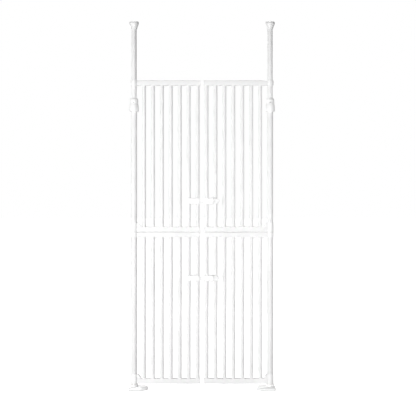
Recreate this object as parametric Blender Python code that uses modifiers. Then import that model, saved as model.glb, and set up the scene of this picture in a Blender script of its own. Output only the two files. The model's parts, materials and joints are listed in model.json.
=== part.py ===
"""Pet gate held between floor and ceiling.

Two telescopic poles stand on D-shaped feet and are jacked up against the ceiling by a grip nut.
Four barred leaves swing on the poles, an upper pair and a lower pair, each pair with a slide latch.
Units are metres. X runs across the gate, -Y is the front and +Z is up. The origin is on the floor,
midway between the poles.
"""

import math

import bmesh
import bpy
from mathutils import Matrix, Vector

GAP = 0.0003  # clearance left between two pieces that touch
MERGE = 0.00001
PAST = 0.001  # how far a cutter reaches past the face that it opens
CHAMFER = 0.0004
SHARP_ANGLE = math.radians(35)
ROUND_STEPS = 20
THREAD_STEPS = 16
SMALL_STEPS = 12
CORNER_STEPS = 2

# Poles
POLE_X = 0.4035
OUTER_RADIUS = 0.0175
OUTER_BORE = 0.0160
INNER_RADIUS = 0.0150
INNER_BORE = 0.0138
INNER_BOTTOM_Z = 1.150
RUNNING_BORE = OUTER_RADIUS + GAP
GUIDE_PLUG_LENGTH = 0.015
GUIDE_FLANGE = 0.004
GUIDE_BORE = 0.0115

# Feet
SOLE_THICKNESS = 0.003
FOOT_TOP_Z = 0.016
FOOT_STEP_Z = 0.019
FOOT_COLLAR_Z = 0.0325
FOOT_SOCKET_Z = 0.008
FOOT_COLLAR_RADIUS = 0.0235
FOOT_COLLAR_FLARE = 0.001
FOOT_COLLAR_CHAMFER = 0.002
FOOT_OUTSIDE = 0.032  # from the pole's axis to the straight outer edge
FOOT_INSIDE = 0.084  # from the pole's axis to the tip of the round end
FOOT_HALF_DEPTH = 0.046
FOOT_STEP_INSET = 0.008
FOOT_CORNER = 0.006
FOOT_TIP_STEPS = 14
FOOT_EDGE = 0.002
FOOT_STEP_EDGE = 0.0015
SOLE_INSET = 0.001

# Leaves. A distance along a leaf is measured from the pole's axis towards the gate's centre.
LEAF_HEIGHT = 0.8972
LOWER_LEAF_Z = 0.036
LEAF_SPACING = 0.0016
UPPER_LEAF_Z = LOWER_LEAF_Z + LEAF_HEIGHT + LEAF_SPACING
CENTRE_GAP_HALF = 0.0105
RAIL_HEIGHT = 0.030
RAIL_DEPTH = 0.025
RAIL_WALL = 0.0012
RAIL_CORNER = 0.002
RAIL_BORE_CORNER = 0.001
RAIL_START = 0.0225
CAP_FLANGE = 0.002
RAIL_END = POLE_X - CENTRE_GAP_HALF - CAP_FLANGE - GAP
BAR_COUNT = 7
BAR_PITCH = 0.053
BAR_RADIUS = 0.0115
BAR_WALL = 0.0008
STILE_X = 0.0265  # from the gate's centre to the free-end bar
BAR_STEPS = 12

# Hinge sleeves
SLEEVE_RADIUS = 0.020
TONGUE_END = 0.044
CAP_PLUG = 0.010
BRACKET_HEIGHT = 0.056
SHOULDER_INSET = 0.0004
GUSSET_ROOT = 0.001
GUSSET_TOP = 0.055
GUSSET_LIP = 0.003
GUSSET_EDGE = 0.0008
GUSSET_FLAT = 0.026
GUSSET_REACH = 0.043
GUSSET_THICKNESS = 0.020
WASHER_RADIUS = 0.0215

# Jack
NUT_BOTTOM_Z = 1.648
NUT_SHOULDER_Z = 1.662
NUT_WEB = 0.003
NUT_TOP_Z = 1.694
NUT_CHAMBER_RADIUS = 0.0225
NUT_OUTSIDE = (  # radius, and height below the nut's top
    (0.0243, 0),
    (0.0251, 0.0010),
    (0.0267, 0.0080),
    (0.0277, 0.0160),
    (0.0282, 0.0250),
    (0.0281, 0.0340),
    (0.0276, 0.0445),
    (0.0265, NUT_TOP_Z - NUT_BOTTOM_Z),
)
THREAD_RADIUS = NUT_CHAMBER_RADIUS - GAP
THREAD_DEPTH = 0.0015
THREAD_PITCH = 0.005
THREAD_COUNT = 4
THREAD_LAND = 0.0015
RING_TOP_Z = 1.727
RING_RADIUS = 0.0245
RING_TOP_RADIUS = 0.0185
RING_CONE_HEIGHT = 0.009
RING_EDGE = 0.0025
STEM_BORE = INNER_RADIUS + GAP
RECESS_Z = 1.7015
RECESS_WIDTH = 0.014
RECESS_HEIGHT = 0.009
RECESS_FLOOR = 0.0193
FIXING_HOLE_RADIUS = 0.0026
FIXING_SHANK_RADIUS = 0.0022
FIXING_HEAD_RADIUS = 0.0036
FIXING_HEAD_HEIGHT = 0.0024

# Ceiling cups
CUP_NECK_Z = 2.138
CUP_TOP_Z = 2.174
CUP_EDGE = 0.0025
CUP_OUTSIDE = (  # radius and height, from the rim down to the neck
    (0.0280, 2.1675),
    (0.0258, 2.1625),
    (0.0228, 2.1560),
    (0.0206, 2.1500),
    (0.0190, 2.1440),
    (0.0183, CUP_NECK_Z),
)
CUP_SOCKET_Z = 2.168
CEILING_Z = 2.180
CEILING_PAD_RADIUS = 0.0275
CEILING_PAD_EDGE = 0.0015
CEILING_PAD_TAPER = 0.0005

# Latches
UPPER_LATCH_Z = 1.118
LOWER_LATCH_Z = 0.662
LATCH_FRONT_Y = -0.031
LATCH_SPLIT = 0.0008  # from the leaf's mid-plane to each half of a clamped block
CLAMP_BACK_Y = 0.015
LATCH_HALF_HEIGHT = 0.017
HOUSING_START = 0.014
HOUSING_TAPER = 0.084
HOUSING_TIP = 0.1045
HOUSING_TIP_RADIUS = 0.006
NOSE_STEPS = 6
KEEPER_END = 0.0855
KEEPER_INSET = 0.0005
KEEPER_CORNER = 0.003
CLAMP_INSET = 0.001
CLAMP_TIP = 0.1005
LATCH_EDGE = 0.0016
SADDLE_RADIUS = BAR_RADIUS + GAP
SCREW_X = STILE_X + BAR_PITCH / 2
BOLT_FRONT_Y = -0.0255
BOLT_BACK_Y = -0.0165
BOLT_HALF_HEIGHT = 0.0075
BOLT_NOSE_X = -0.0115
BOLT_TAIL_X = 0.070
BOLT_RETRACT = 0.012
BOLT_LOCK = 0.015
BOLT_EDGE = 0.0012
KEEPER_SLACK = 0.0018
KEEPER_POCKET_DEPTH = 0.016
KNOB_X = 0.052
KNOB_RADIUS = 0.0200
KNOB_FACE = (  # radius, and depth below the knob's front, out from the middle of its dish
    (0, 0.0016),
    (0.0090, 0.0012),
    (0.0150, 0),
    (0.0180, 0.0004),
    (0.0200, 0.0024),
)
KNOB_THICKNESS = 0.0085
KNOB_EDGE = 0.0006
KNOB_STEM_RADIUS = 0.004
KNOB_STEM_SLACK = 0.0005
KNOB_STEM_Y = -0.0205
SCREW_HEAD_RADIUS = 0.0035
SCREW_HEAD_HEIGHT = 0.0025
SCREW_SHANK_RADIUS = 0.0019
SCREW_TIP_Y = -0.012
SOCKET_DEPTH = 0.6  # of the screw head's height
SOCKET_RADIUS = 0.5  # of the screw head's radius

SIDES = {"left": -1, "right": 1}

# Each sub-part's colour, roughness and metallic value.
POWDER_COAT = ((0.86, 0.86, 0.86), 0.38, 0.0)
WHITE_PLASTIC = ((0.88, 0.88, 0.88), 0.45, 0.0)
GREY_RUBBER = ((0.62, 0.62, 0.62), 0.85, 0.0)
NATURAL_NYLON = ((0.80, 0.79, 0.75), 0.55, 0.0)
ZINC_STEEL = ((0.60, 0.61, 0.62), 0.35, 1.0)
FINISHES = {
    "foot_plate": WHITE_PLASTIC,
    "foot_pad": GREY_RUBBER,
    "outer_tube": POWDER_COAT,
    "inner_tube": POWDER_COAT,
    "inner_tube_guide": NATURAL_NYLON,
    "pivot_washer": NATURAL_NYLON,
    "jack_nut": WHITE_PLASTIC,
    "jack_stem": WHITE_PLASTIC,
    "fixing_screw": ZINC_STEEL,
    "ceiling_cup": WHITE_PLASTIC,
    "ceiling_pad": GREY_RUBBER,
    "leaf_frame": POWDER_COAT,
    "hinge_sleeve": WHITE_PLASTIC,
    "hinge_bracket": WHITE_PLASTIC,
    "rail_cap": WHITE_PLASTIC,
    "latch_housing": WHITE_PLASTIC,
    "latch_bolt": WHITE_PLASTIC,
    "latch_knob": WHITE_PLASTIC,
    "latch_keeper": WHITE_PLASTIC,
    "latch_clamp": WHITE_PLASTIC,
    "clamp_screw": ZINC_STEEL,
}


def clear_scene():
    for obj in list(bpy.data.objects):
        bpy.data.objects.remove(obj)


def new_collection(name):
    collection = bpy.data.collections.new(name)
    bpy.context.scene.collection.children.link(collection)
    return collection


def material(kind):
    if kind in bpy.data.materials:
        return bpy.data.materials[kind]
    colour, roughness, metallic = FINISHES[kind]
    made = bpy.data.materials.new(kind)
    made.use_nodes = True
    shader = made.node_tree.nodes["Principled BSDF"]
    shader.inputs["Base Color"].default_value = (*colour, 1)
    shader.inputs["Roughness"].default_value = roughness
    shader.inputs["Metallic"].default_value = metallic
    return made


def finish_mesh(bm, name):
    mesh = bpy.data.meshes.new(name)
    bmesh.ops.recalc_face_normals(bm, faces=bm.faces[:])
    bm.to_mesh(mesh)
    bm.free()
    mesh.shade_smooth()
    mesh.set_sharp_from_angle(angle=SHARP_ANGLE)
    return mesh


def add_box(bm, low, high):
    """Adds a box between two corners, which may be given in either order on each axis."""
    low, high = Vector(low), Vector(high)
    size = [abs(b - a) for a, b in zip(low, high)]
    place = Matrix.Translation((low + high) / 2) @ Matrix.Diagonal((*size, 1))
    bmesh.ops.create_cube(bm, size=1, matrix=place)


def add_cylinder(bm, radius, start, end, steps=ROUND_STEPS):
    start, end = Vector(start), Vector(end)
    along = end - start
    turn = Vector((0, 0, 1)).rotation_difference(along).to_matrix().to_4x4()
    bmesh.ops.create_cone(
        bm,
        cap_ends=True,
        segments=steps,
        radius1=radius,
        radius2=radius,
        depth=along.length,
        matrix=Matrix.Translation((start + end) / 2) @ turn,
    )


def box_mesh(name, low, high):
    bm = bmesh.new()
    add_box(bm, low, high)
    return finish_mesh(bm, name)


def cylinder_mesh(name, radius, start, end, steps=ROUND_STEPS):
    bm = bmesh.new()
    add_cylinder(bm, radius, start, end, steps)
    return finish_mesh(bm, name)


def prism_mesh(name, outlines, low, high, axis="Z"):
    """Flat outlines thickened along an axis. X outlines hold (y, z), and Y ones hold (x, z)."""
    curve = bpy.data.curves.new(name, "CURVE")
    curve.dimensions = "2D"
    curve.fill_mode = "BOTH"
    curve.extrude = abs(high - low) / 2
    for points in outlines:
        spline = curve.splines.new("POLY")
        spline.points.add(len(points) - 1)
        for point, (across, up) in zip(spline.points, points):
            point.co = (across, up, 0, 1)
        spline.use_cyclic_u = True
    holder = bpy.data.objects.new(name, curve)
    bpy.context.scene.collection.objects.link(holder)
    graph = bpy.context.evaluated_depsgraph_get()
    solid = bpy.data.meshes.new_from_object(holder.evaluated_get(graph))
    bpy.data.objects.remove(holder)
    bm = bmesh.new()
    bm.from_mesh(solid)
    bmesh.ops.remove_doubles(bm, verts=bm.verts[:], dist=MERGE)
    middle = (low + high) / 2
    places = {
        "X": Matrix(((0, 0, 1, middle), (1, 0, 0, 0), (0, 1, 0, 0), (0, 0, 0, 1))),
        "Y": Matrix(((1, 0, 0, 0), (0, 0, 1, middle), (0, 1, 0, 0), (0, 0, 0, 1))),
        "Z": Matrix.Translation((0, 0, middle)),
    }
    bmesh.ops.transform(bm, matrix=places[axis], verts=bm.verts[:])
    return finish_mesh(bm, name)


def arc(centre, radius, start, end, steps):
    """Points on an arc, from one angle to the other in degrees, both ends included."""
    angles = [math.radians(start + (end - start) * i / steps) for i in range(steps + 1)]
    return [(centre[0] + radius * math.cos(a), centre[1] + radius * math.sin(a)) for a in angles]


def rounded_rectangle(half_width, half_height, corner, centre):
    points = []
    for quarter, (across, up) in enumerate(((1, 1), (-1, 1), (-1, -1), (1, -1))):
        middle = (
            centre[0] + across * (half_width - corner),
            centre[1] + up * (half_height - corner),
        )
        points += arc(middle, corner, 90 * quarter, 90 * quarter + 90, CORNER_STEPS)
    return points


class Assembly:
    """Adds the parts and the cutters to their collections."""

    def __init__(self, name):
        self.parts = new_collection(name)
        self.cutters = new_collection(name + "_cutters")

    def part(self, name, kind, mesh, location=(0, 0, 0)):
        obj = bpy.data.objects.new(name, mesh)
        obj.location = location
        obj.data.materials.append(material(kind))
        self.parts.objects.link(obj)
        return obj

    def helper(self, name, mesh, location=(0, 0, 0)):
        obj = bpy.data.objects.new(name, mesh)
        obj.location = location
        obj.hide_render = True
        obj.display_type = "WIRE"
        self.cutters.objects.link(obj)
        return obj

    def pivot(self, name, location, parent=None):
        empty = bpy.data.objects.new(name, None)
        empty.empty_display_size = 0.05
        empty.location = location
        self.parts.objects.link(empty)
        if parent:
            keep_in_place(empty, parent)
        return empty


def keep_in_place(obj, parent):
    bpy.context.view_layer.update()
    obj.parent = parent
    obj.matrix_parent_inverse = parent.matrix_world.inverted()


def boolean(obj, other, operation="DIFFERENCE"):
    modifier = obj.modifiers.new(other.name, "BOOLEAN")
    modifier.operation = operation
    modifier.solver = "EXACT"
    modifier.object = other


def bevel(obj, width, segments=2):
    modifier = obj.modifiers.new("edges", "BEVEL")
    modifier.width = width
    modifier.segments = segments
    modifier.limit_method = "ANGLE"
    modifier.angle_limit = SHARP_ANGLE


def profile_mesh(name, profile, closed):
    """A turned shape's profile as (radius, height), down its outer side from the top."""
    bm = bmesh.new()
    verts = [bm.verts.new((radius, 0, height)) for radius, height in profile]
    for first, second in zip(verts, verts[1:]):
        bm.edges.new((first, second))
    if closed:
        bm.edges.new((verts[-1], verts[0]))
    mesh = bpy.data.meshes.new(name)
    bm.to_mesh(mesh)
    bm.free()
    return mesh


def turn(obj, steps=ROUND_STEPS):
    modifier = obj.modifiers.new("turned", "SCREW")
    modifier.steps = steps
    modifier.render_steps = steps
    modifier.use_merge_vertices = True
    modifier.merge_threshold = MERGE
    modifier.use_smooth_shade = True


def ring_profile(inner, outer, bottom, top):
    return [(outer, top), (outer, bottom), (inner, bottom), (inner, top)]


def facing_front(obj):
    """Turns a part made along Z so that it lies along Y, with its top towards the front."""
    obj.rotation_euler = (math.radians(90), 0, 0)


# Feet


def foot_outline(side, inset):
    """The D outline about the pole's axis: straight outer edge, round end towards the centre."""
    radius = FOOT_HALF_DEPTH - inset
    tip_centre = (FOOT_INSIDE - FOOT_HALF_DEPTH, 0)
    corner_x = FOOT_CORNER - FOOT_OUTSIDE + inset
    corner_y = radius - FOOT_CORNER
    outline = [(corner_x, -radius)]
    outline += arc(tip_centre, radius, -90, 90, FOOT_TIP_STEPS)
    outline += arc((corner_x, corner_y), FOOT_CORNER, 90, 180, CORNER_STEPS)
    outline += arc((corner_x, -corner_y), FOOT_CORNER, 180, 270, CORNER_STEPS)[:-1]
    return [(-side * along, across) for along, across in outline]


def foot(assembly, side_name, side):
    axis = (side * POLE_X, 0, 0)
    sole = prism_mesh("foot_pad", [foot_outline(side, SOLE_INSET)], 0, SOLE_THICKNESS)
    assembly.part(f"foot_pad_{side_name}", "foot_pad", sole, axis)
    base = prism_mesh("foot", [foot_outline(side, 0)], SOLE_THICKNESS + GAP, FOOT_TOP_Z)
    plate = assembly.part(f"foot_plate_{side_name}", "foot_plate", base, axis)
    bevel(plate, FOOT_EDGE)
    outline = foot_outline(side, FOOT_STEP_INSET)
    step_mesh = prism_mesh("foot_step", [outline], FOOT_SOCKET_Z, FOOT_STEP_Z)
    step = assembly.helper(f"foot_step_{side_name}", step_mesh, axis)
    bevel(step, FOOT_STEP_EDGE, 1)
    boolean(plate, step, "UNION")
    root = FOOT_SOCKET_Z + PAST
    profile = [
        (0, FOOT_COLLAR_Z),
        (FOOT_COLLAR_RADIUS - FOOT_COLLAR_CHAMFER, FOOT_COLLAR_Z),
        (FOOT_COLLAR_RADIUS, FOOT_COLLAR_Z - FOOT_COLLAR_CHAMFER),
        (FOOT_COLLAR_RADIUS + FOOT_COLLAR_FLARE, root),
        (0, root),
    ]
    mesh = profile_mesh("collar", profile, False)
    collar = assembly.helper(f"foot_collar_{side_name}", mesh, axis)
    turn(collar)
    boolean(plate, collar, "UNION")
    socket = (0, 0, FOOT_SOCKET_Z)
    bore = cylinder_mesh("bore", RUNNING_BORE, socket, (0, 0, FOOT_COLLAR_Z + PAST))
    boolean(plate, assembly.helper(f"foot_socket_{side_name}", bore, axis))


# Poles


def tube(assembly, name, kind, axis, profile, parent=None):
    obj = assembly.part(name, kind, profile_mesh(kind, profile, True), axis)
    turn(obj)
    if parent:
        keep_in_place(obj, parent)
    return obj


def washer(assembly, name, axis, bottom, top):
    profile = ring_profile(RUNNING_BORE, WASHER_RADIUS, bottom, top)
    tube(assembly, name, "pivot_washer", axis, profile)


def fixed_pole(assembly, side_name, side):
    axis = (side * POLE_X, 0, 0)
    bottom = FOOT_SOCKET_Z + GAP
    profile = ring_profile(OUTER_BORE, OUTER_RADIUS, bottom, NUT_SHOULDER_Z - GAP)
    tube(assembly, f"outer_tube_{side_name}", "outer_tube", axis, profile)
    top = LOWER_LEAF_Z - GAP
    washer(assembly, f"lower_pivot_washer_{side_name}", axis, FOOT_COLLAR_Z + GAP, top)
    bottom = UPPER_LEAF_Z - LEAF_SPACING + GAP
    washer(assembly, f"middle_pivot_washer_{side_name}", axis, bottom, UPPER_LEAF_Z - GAP)


def sliding_pole(assembly, side_name, side, stem_pivot):
    axis = (side * POLE_X, 0, 0)
    slide = assembly.pivot(f"inner_tube_slide_{side_name}", axis, stem_pivot)
    profile = ring_profile(INNER_BORE, INNER_RADIUS, INNER_BOTTOM_Z, CUP_SOCKET_Z - GAP)
    tube(assembly, f"inner_tube_{side_name}", "inner_tube", axis, profile, slide)
    plug = INNER_BORE - GAP
    flange = OUTER_BORE - GAP
    shoulder = INNER_BOTTOM_Z - GAP
    guide = [
        (plug, shoulder + GUIDE_PLUG_LENGTH),
        (plug, shoulder),
        (flange, shoulder),
        (flange, shoulder - GUIDE_FLANGE),
        (GUIDE_BORE, shoulder - GUIDE_FLANGE),
        (GUIDE_BORE, shoulder + GUIDE_PLUG_LENGTH),
    ]
    tube(assembly, f"inner_tube_guide_{side_name}", "inner_tube_guide", axis, guide, slide)
    ceiling_cup(assembly, side_name, axis, slide)


def ceiling_cup(assembly, side_name, axis, slide):
    rim_radius = CUP_OUTSIDE[0][0]
    profile = [
        (0, CUP_TOP_Z),
        (rim_radius - CUP_EDGE, CUP_TOP_Z),
        (rim_radius, CUP_TOP_Z - CUP_EDGE),
        *CUP_OUTSIDE,
        (STEM_BORE, CUP_NECK_Z),
        (STEM_BORE, CUP_SOCKET_Z),
        (0, CUP_SOCKET_Z),
    ]
    mesh = profile_mesh("ceiling_cup", profile, False)
    cup = assembly.part(f"ceiling_cup_{side_name}", "ceiling_cup", mesh, axis)
    turn(cup)
    keep_in_place(cup, slide)
    bottom = CUP_TOP_Z + GAP
    profile = [
        (0, CEILING_Z),
        (CEILING_PAD_RADIUS - CEILING_PAD_EDGE, CEILING_Z),
        (CEILING_PAD_RADIUS, CEILING_Z - CEILING_PAD_EDGE),
        (CEILING_PAD_RADIUS - CEILING_PAD_TAPER, bottom),
        (0, bottom),
    ]
    mesh = profile_mesh("ceiling_pad", profile, False)
    pad = assembly.part(f"ceiling_pad_{side_name}", "ceiling_pad", mesh, axis)
    turn(pad)
    keep_in_place(pad, slide)


# Jacks


def jack_nut(assembly, side_name, axis):
    """The grip nut turns on the outer tube's top end, which its inner shoulder rests on."""
    web_top = NUT_SHOULDER_Z + NUT_WEB
    web_bore = STEM_BORE + GAP
    profile = [
        *((radius, NUT_TOP_Z - drop) for radius, drop in NUT_OUTSIDE),
        (RUNNING_BORE, NUT_BOTTOM_Z),
        (RUNNING_BORE, NUT_SHOULDER_Z),
        (web_bore, NUT_SHOULDER_Z),
        (web_bore, web_top),
        (NUT_CHAMBER_RADIUS, web_top),
        (NUT_CHAMBER_RADIUS, NUT_TOP_Z),
    ]
    pivot = assembly.pivot(f"jack_nut_pivot_{side_name}", axis)
    tube(assembly, f"jack_nut_{side_name}", "jack_nut", axis, profile, pivot)


def thread_profile(top, bottom):
    """Trapezoid ridges down the stem's outer side."""
    root = THREAD_RADIUS - THREAD_DEPTH
    points = [(THREAD_RADIUS, top)]
    for turn_number in range(THREAD_COUNT):
        start = top - THREAD_PITCH * (turn_number + 0.5)
        points += [
            (THREAD_RADIUS, start),
            (root, start - THREAD_DEPTH / 2),
            (root, start - THREAD_DEPTH / 2 - THREAD_LAND),
            (THREAD_RADIUS, start - THREAD_DEPTH - THREAD_LAND),
        ]
    return points + [(THREAD_RADIUS, bottom)]


def jack_stem(assembly, side_name, axis):
    """The threaded stem, and the stopper ring that its fixing screw clamps to the inner tube."""
    bottom = NUT_SHOULDER_Z + NUT_WEB + GAP
    ring_bottom = NUT_TOP_Z + GAP
    profile = [
        (RING_TOP_RADIUS, RING_TOP_Z),
        (RING_RADIUS, RING_TOP_Z - RING_CONE_HEIGHT),
        (RING_RADIUS, ring_bottom + RING_EDGE),
        (THREAD_RADIUS + GAP, ring_bottom),
        *thread_profile(ring_bottom, bottom),
        (STEM_BORE, bottom),
        (STEM_BORE, RING_TOP_Z),
    ]
    pivot = assembly.pivot(f"jack_stem_slide_{side_name}", axis)
    mesh = profile_mesh("stem", profile, True)
    stem = assembly.part(f"jack_stem_{side_name}", "jack_stem", mesh, axis)
    turn(stem, THREAD_STEPS)
    keep_in_place(stem, pivot)
    low = (-RECESS_WIDTH / 2, -RING_RADIUS - PAST, RECESS_Z - RECESS_HEIGHT / 2)
    high = (RECESS_WIDTH / 2, -RECESS_FLOOR, RECESS_Z + RECESS_HEIGHT / 2)
    recess = assembly.helper(f"screw_recess_{side_name}", box_mesh("recess", low, high), axis)
    boolean(stem, recess)
    start = (0, -RING_RADIUS, RECESS_Z)
    mesh = cylinder_mesh("hole", FIXING_HOLE_RADIUS, start, (0, 0, RECESS_Z), SMALL_STEPS)
    boolean(stem, assembly.helper(f"screw_hole_{side_name}", mesh, axis))
    fixing_screw(assembly, side_name, axis, pivot)
    return pivot


def fixing_screw(assembly, side_name, axis, stem_pivot):
    place = (axis[0], 0, RECESS_Z)
    pivot = assembly.pivot(f"fixing_screw_pivot_{side_name}", place, stem_pivot)
    seat = RECESS_FLOOR + GAP
    name = f"fixing_screw_{side_name}"
    sizes = (FIXING_HEAD_RADIUS, FIXING_HEAD_HEIGHT, FIXING_SHANK_RADIUS)
    screw = socket_screw(assembly, name, "fixing_screw", place, seat, INNER_RADIUS + GAP, sizes)
    keep_in_place(screw, pivot)


def socket_screw(assembly, name, kind, place, seat, tip, sizes):
    """A hexagon-socket screw along Y. Seat and tip are heights towards the front, head outermost."""
    head_radius, head_height, shank_radius = sizes
    outward = 1 if seat > tip else -1
    top = seat + outward * head_height
    chamfer = outward * CHAMFER
    profile = [
        (0, top),
        (head_radius - CHAMFER, top),
        (head_radius, top - chamfer),
        (head_radius, seat),
        (shank_radius, seat),
        (shank_radius, tip + chamfer),
        (shank_radius - CHAMFER, tip),
        (0, tip),
    ]
    if outward < 0:
        profile.reverse()
    screw = assembly.part(name, kind, profile_mesh(kind, profile, False), place)
    turn(screw, SMALL_STEPS)
    facing_front(screw)
    floor = (0, 0, top - outward * head_height * SOCKET_DEPTH)
    opening = (0, 0, top + outward * PAST)
    mesh = cylinder_mesh("socket", head_radius * SOCKET_RADIUS, floor, opening, 6)
    socket = assembly.helper(name + "_socket", mesh, place)
    facing_front(socket)
    boolean(screw, socket)
    return screw


# Leaves


def rail_outline(inset, bottom):
    centre = (0, bottom + RAIL_HEIGHT / 2)
    half_depth = RAIL_DEPTH / 2 - inset
    half_height = RAIL_HEIGHT / 2 - inset
    corner = max(RAIL_CORNER - inset, RAIL_BORE_CORNER)
    return rounded_rectangle(half_depth, half_height, corner, centre)


def rails_mesh(name, side, inset, start, end):
    """Both rails as solid bars, from start to end along the leaf."""
    outlines = [rail_outline(inset, 0), rail_outline(inset, LEAF_HEIGHT - RAIL_HEIGHT)]
    return prism_mesh(name, outlines, -side * start, -side * end, "X")


def bars_mesh(name, side, radius, depth):
    """The upright bars, each reaching depth into both rails."""
    bm = bmesh.new()
    for number in range(BAR_COUNT):
        along = -side * (POLE_X - STILE_X - BAR_PITCH * number)
        start = (along, 0, RAIL_HEIGHT - depth)
        add_cylinder(bm, radius, start, (along, 0, LEAF_HEIGHT - RAIL_HEIGHT + depth), BAR_STEPS)
    return finish_mesh(bm, name)


def leaf_frame(assembly, leaf, side, place):
    """Two hollow rails and the hollow bars welded between them, whose bores open into the rails."""
    rails = rails_mesh("rails", side, 0, RAIL_START, RAIL_END)
    frame = assembly.part(f"{leaf}_frame", "leaf_frame", rails, place)
    bars = bars_mesh("bars", side, BAR_RADIUS, RAIL_HEIGHT / 3)
    boolean(frame, assembly.helper(f"{leaf}_bars", bars, place), "UNION")
    hollow = rails_mesh("rail_bores", side, RAIL_WALL, RAIL_START - PAST, RAIL_END + PAST)
    boolean(frame, assembly.helper(f"{leaf}_rail_bores", hollow, place))
    bores = bars_mesh("bar_bores", side, BAR_RADIUS - BAR_WALL, RAIL_WALL * 3)
    boolean(frame, assembly.helper(f"{leaf}_bar_bores", bores, place))
    return frame


def shoulder_and_tongue(assembly, name, side, place, bottom):
    """The block that carries on the rail's section to the sleeve, and the tongue inside the rail."""
    outline = rail_outline(SHOULDER_INSET, bottom)
    mesh = prism_mesh("shoulder", [outline], 0, -side * (RAIL_START - GAP), "X")
    shoulder = assembly.helper(name + "_shoulder", mesh, place)
    start = -side * (RAIL_START - GAP * 5)
    outline = rail_outline(RAIL_WALL + GAP, bottom)
    mesh = prism_mesh("tongue", [outline], start, -side * TONGUE_END, "X")
    return shoulder, assembly.helper(name + "_tongue", mesh, place)


def sleeve_body(assembly, name, kind, place, bottom, top):
    profile = [(0, top), (SLEEVE_RADIUS, top), (SLEEVE_RADIUS, bottom), (0, bottom)]
    obj = assembly.part(name, kind, profile_mesh(kind, profile, False), place)
    turn(obj)
    return obj


def bore_sleeve(assembly, sleeve, place, radius, bottom, top):
    mesh = cylinder_mesh("bore", radius, (0, 0, bottom - PAST), (0, 0, top + PAST))
    boolean(sleeve, assembly.helper(sleeve.name + "_bore", mesh, place))


def top_sleeve(assembly, leaf, side, place, bore):
    bottom = LEAF_HEIGHT - RAIL_HEIGHT
    name = f"{leaf}_top_sleeve"
    sleeve = sleeve_body(assembly, name, "hinge_sleeve", place, bottom, LEAF_HEIGHT)
    for helper in shoulder_and_tongue(assembly, name, side, place, bottom):
        boolean(sleeve, helper, "UNION")
    bore_sleeve(assembly, sleeve, place, bore, bottom, LEAF_HEIGHT)
    return sleeve


def hinge_bracket(assembly, leaf, side, place):
    """The bottom sleeve, taller than its rail, with a gusset that runs down onto the rail."""
    name = f"{leaf}_hinge_bracket"
    bracket = sleeve_body(assembly, name, "hinge_bracket", place, 0, BRACKET_HEIGHT)
    for helper in shoulder_and_tongue(assembly, name, side, place, 0):
        boolean(bracket, helper, "UNION")
    above_rail = RAIL_HEIGHT + GAP
    inner = RAIL_START - GAP * 4
    outline = [
        (GUSSET_ROOT, RAIL_HEIGHT / 2),
        (inner, RAIL_HEIGHT / 2),
        (inner, above_rail),
        (GUSSET_REACH, above_rail),
        (GUSSET_REACH, above_rail + GUSSET_LIP),
        (GUSSET_FLAT, GUSSET_TOP),
        (GUSSET_ROOT, GUSSET_TOP),
    ]
    outline = [(-side * along, up) for along, up in outline]
    half = GUSSET_THICKNESS / 2
    mesh = prism_mesh("gusset", [outline], -half, half, "Y")
    gusset = assembly.helper(name + "_gusset", mesh, place)
    bevel(gusset, GUSSET_EDGE, 1)
    boolean(bracket, gusset, "UNION")
    bore_sleeve(assembly, bracket, place, RUNNING_BORE, 0, BRACKET_HEIGHT)
    return bracket


def rail_cap(assembly, leaf, end, side, place, bottom):
    start = -side * (RAIL_END + GAP)
    tip = -side * (RAIL_END + GAP + CAP_FLANGE)
    mesh = prism_mesh("rail_cap", [rail_outline(0, bottom)], start, tip, "X")
    cap = assembly.part(f"{leaf}_{end}_cap", "rail_cap", mesh, place)
    outline = rail_outline(RAIL_WALL + GAP, bottom)
    reach = -side * (RAIL_END - CAP_PLUG)
    inside = -side * (RAIL_END + GAP + CAP_FLANGE / 2)
    plug = prism_mesh("plug", [outline], reach, inside, "X")
    boolean(cap, assembly.helper(f"{leaf}_{end}_plug", plug, place), "UNION")
    return cap


def leaf(assembly, level, side_name, side, base, top_bore):
    name = f"{level}_{side_name}"
    place = (side * POLE_X, 0, base)
    pivot = assembly.pivot(f"{name}_leaf_pivot", place)
    pieces = [
        leaf_frame(assembly, name, side, place),
        top_sleeve(assembly, name, side, place, top_bore),
        hinge_bracket(assembly, name, side, place),
        rail_cap(assembly, name, "top", side, place, LEAF_HEIGHT - RAIL_HEIGHT),
        rail_cap(assembly, name, "bottom", side, place, 0),
    ]
    for piece in pieces:
        keep_in_place(piece, pivot)
    return pivot


# Latches


def bar_saddles(assembly, block, place, side):
    """Cuts the half-round grooves that seat a clamped block on the last two bars."""
    bm = bmesh.new()
    for number in range(2):
        along = side * (STILE_X + BAR_PITCH * number)
        reach = LATCH_HALF_HEIGHT * 2
        add_cylinder(bm, SADDLE_RADIUS, (along, 0, -reach), (along, 0, reach), BAR_STEPS)
    boolean(block, assembly.helper(block.name + "_saddles", finish_mesh(bm, "saddles"), place))


def screw_hole(assembly, block, place, side, front, back):
    """The clamp screw's hole along Y, between the two bars."""
    along = side * SCREW_X
    radius = SCREW_SHANK_RADIUS + GAP
    mesh = cylinder_mesh("screw_hole", radius, (along, front, 0), (along, back, 0), SMALL_STEPS)
    boolean(block, assembly.helper(block.name + "_screw_hole", mesh, place))


def latch_block(assembly, name, kind, place, side, outline, front, back):
    block = assembly.part(name, kind, prism_mesh(name, [outline], front, back, "Y"), place)
    bevel(block, LATCH_EDGE, 1)
    bar_saddles(assembly, block, place, side)
    return block


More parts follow.
